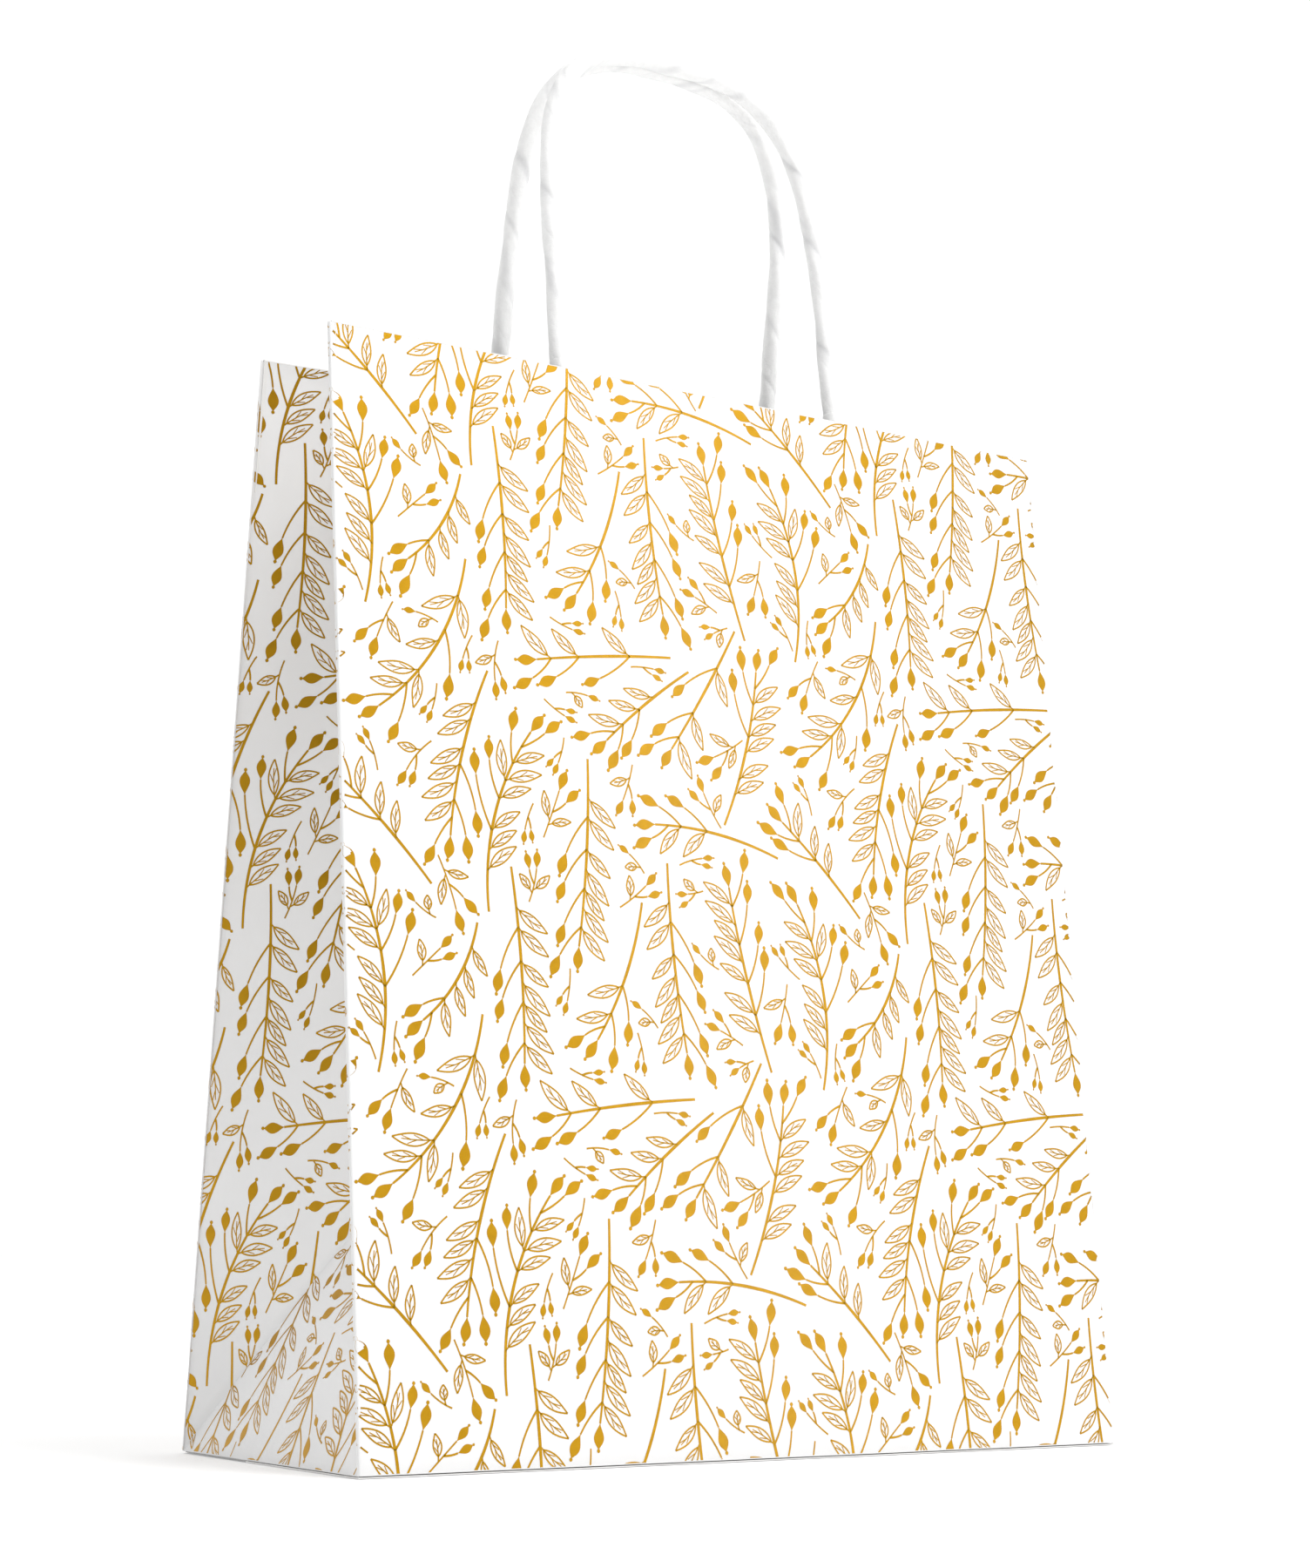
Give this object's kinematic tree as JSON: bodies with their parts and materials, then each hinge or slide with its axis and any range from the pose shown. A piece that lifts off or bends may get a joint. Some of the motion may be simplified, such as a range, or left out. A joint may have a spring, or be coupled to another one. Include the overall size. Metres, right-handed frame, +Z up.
{
  "type": "paper gift bag",
  "caption": "Paper gift bag with a block bottom, folded side gussets, a turned-over top and two twisted-paper loop handles.",
  "frame": {"origin": "middle of the base, on the surface the bag stands on", "axes": "+Z up, X across the front panel, -Y towards the front"},
  "size_m": [0.26, 0.11, 0.4354],
  "materials": {
    "printed_paper": "satin",
    "plain_paper": "matte",
    "patch_paper": "matte",
    "twisted_cord": "matte",
    "gold_foil": "satin"
  },
  "bodies": {
    "base": {"bottom_flap_front": "printed_paper", "bottom_flap_back": "printed_paper", "left_end_flap": "plain_paper", "right_end_flap": "plain_paper", "left_base_triangle": "printed_paper", "right_base_triangle": "printed_paper", "left_gusset_front": "printed_paper", "left_gusset_back": "printed_paper", "right_gusset_front": "printed_paper", "right_gusset_back": "printed_paper", "left_gusset_front_hem": "plain_paper", "left_gusset_back_hem": "plain_paper", "right_gusset_front_hem": "plain_paper", "right_gusset_back_hem": "plain_paper"},
    "front_wall": {"front_panel": "printed_paper", "front_hem": "plain_paper", "front_patch_outer_ply": "patch_paper", "front_patch_inner_ply": "patch_paper", "front_cord_end_left": "twisted_cord", "front_cord_end_right": "twisted_cord"},
    "back_wall": {"back_panel": "printed_paper", "side_seam_flap": "plain_paper", "back_hem": "plain_paper", "back_patch_outer_ply": "patch_paper", "back_patch_inner_ply": "patch_paper", "back_cord_end_left": "twisted_cord", "back_cord_end_right": "twisted_cord"},
    "front_handle": {"front_handle_loop": "twisted_cord"},
    "back_handle": {"back_handle_loop": "twisted_cord"}
  },
  "joints": [
    {"name": "front_panel_tilt", "type": "hinge", "parent": "base", "child": "front_wall", "pos_m": [0, -0.055, 0.0006], "axis": [1, 0, 0], "range_deg": [0, 5.8]},
    {"name": "back_panel_tilt", "type": "hinge", "parent": "base", "child": "back_wall", "pos_m": [0, 0.055, 0.0006], "axis": [-1, 0, 0], "range_deg": [0, 5.8]},
    {"name": "front_handle_swing", "type": "hinge", "parent": "front_wall", "child": "front_handle", "pos_m": [0, -0.01859, 0.32176], "axis": [1, 0, 0], "range_deg": [0, 95]},
    {"name": "back_handle_swing", "type": "hinge", "parent": "back_wall", "child": "back_handle", "pos_m": [0, 0.01859, 0.32176], "axis": [-1, 0, 0], "range_deg": [0, 95]}
  ]
}
